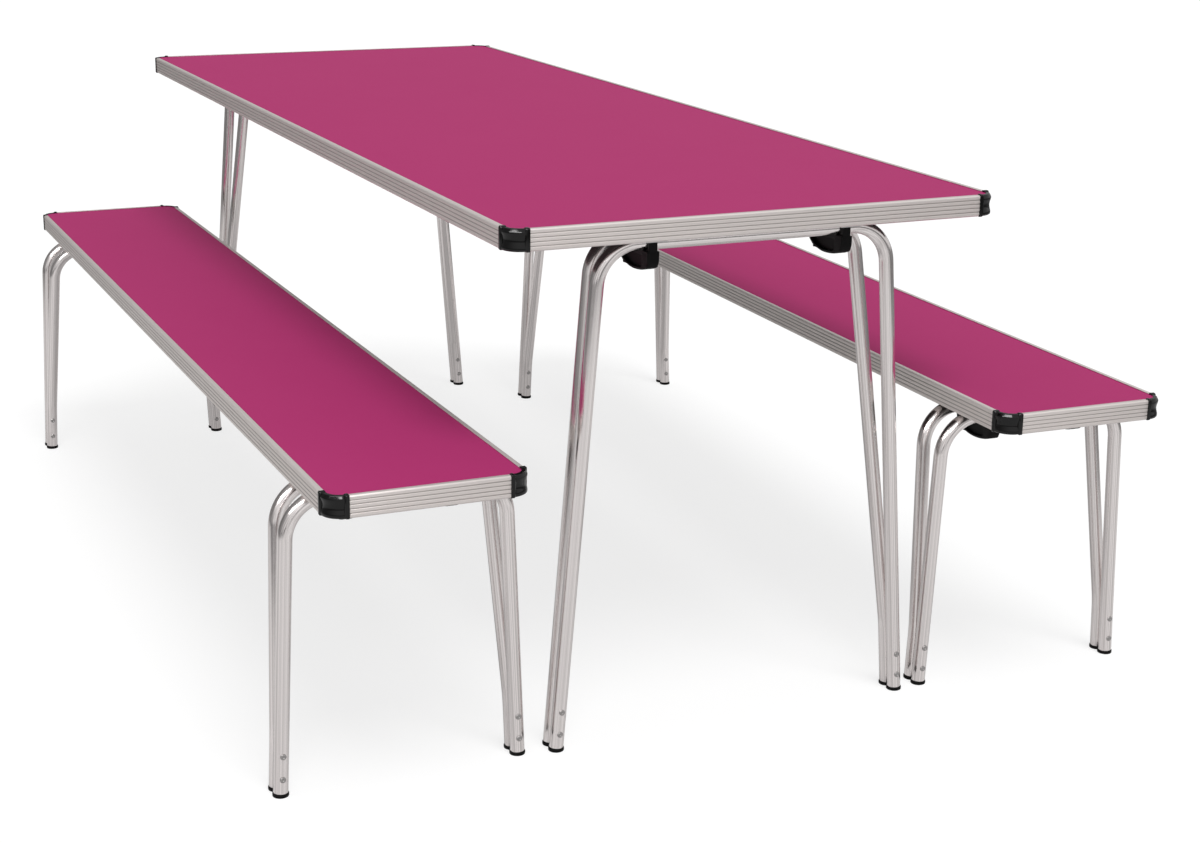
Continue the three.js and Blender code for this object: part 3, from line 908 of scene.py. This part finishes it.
floor_paint, shader, place = new_finish("pale_floor", {"Specular IOR Level": 0.0})
speckle = place.noise(300, 2)
seen_floor = speckle.between((0.27, 0.27, 0.27, 1), (0.29, 0.29, 0.29, 1))
(0.85 + 0.1 * speckle).feed(shader, "Roughness")
by_eye, by_gloss = ray_tones(place)
# Shiny pieces see the floor with a painted pool of light: its colour and a glow are brightest near the set
# and fade to a dim grey far off.
away = place.stretched(pool_stretch).vector_sum("DISTANCE", pool_middle)
painted_light_pool = 0.2 + 0.5 * away.eased(3.1, 1.6)
bounced_floor = by_eye.between((0.45, 0.45, 0.45, 1), seen_floor)
by_gloss.between(bounced_floor, pool_paint * painted_light_pool).feed(shader, "Base Color")
lift = place.node("ShaderNodeEmission", {}, {"Strength": eye_lift * by_eye + pool_glow * by_gloss * painted_light_pool})
surface = place.node("ShaderNodeAddShader", {}, {0: Tone(place.tree, shader.outputs[0]), 1: lift})
surface.feed(place.tree.nodes["Material Output"], "Surface")
bpy.ops.object.select_all(action="DESELECT")
bpy.ops.mesh.primitive_circle_add(vertices=64, radius=floor_radius, fill_type="NGON")
floor = bpy.context.object
floor.name = "floor"
floor.data.materials.append(floor_paint)

world = bpy.data.worlds.new("studio")
world.use_nodes = True
bpy.context.scene.world = world
tree = world.node_tree
sky = tree.nodes["Background"]
sky.inputs["Color"].default_value = (1, 1, 1, 1)
way = Tone(tree, tree.nodes.new("ShaderNodeTexCoord").outputs["Generated"])
by_eye, by_gloss = ray_tones(way)
mirrored_sky = 0.22 + 0.6 * way.vector_sum("DOT_PRODUCT", bright_side).eased(-0.95, 0.7)
(by_eye + by_gloss * mirrored_sky + (1 - by_eye) * (1 - by_gloss) * plain_sky).feed(sky, "Strength")

sun = bpy.data.lights.new("sun", "SUN")
sun.energy = 1.75
sun.angle = math.radians(30)
holder = bpy.data.objects.new("sun", sun)
holder.rotation_euler = sun_way.to_track_quat("-Z", "Y").to_euler()
holder.visible_glossy = False
bpy.context.collection.objects.link(holder)

azimuth = math.radians(65.413)
elevation = math.radians(16.43)
roll = math.radians(0.786)
level = math.cos(elevation)
back = Vector((math.sin(azimuth) * level, -math.cos(azimuth) * level, math.sin(elevation)))
right = (-back).cross(Vector((0, 0, 1))).normalized()
up = right.cross(-back)
tilted = right * math.cos(roll) + up * math.sin(roll)
upright = up * math.cos(roll) - right * math.sin(roll)
lens = bpy.data.cameras.new("camera")
lens.lens = 62.79
lens.sensor_width = 36
camera = bpy.data.objects.new("camera", lens)
table_middle = unit_place("table").translation
look = Matrix((tilted, upright, back)).transposed().to_4x4()
camera.matrix_world = Matrix.Translation(table_middle + eye_place) @ look
bpy.context.collection.objects.link(camera)
bpy.context.scene.camera = camera

strip = bpy.data.lights.new("strip", "AREA")
strip.shape = "RECTANGLE"
strip.size = 3.8
strip.size_y = 0.6
strip.energy = 95
holder = bpy.data.objects.new("strip", strip)
aim = strip_place.to_track_quat("Z", "Y").to_matrix().to_4x4()
holder.matrix_world = Matrix.Translation(table_middle + strip_place) @ aim
holder.visible_diffuse = False
holder.visible_camera = False
bpy.context.collection.objects.link(holder)
bpy.context.scene.view_settings.view_transform = "Standard"
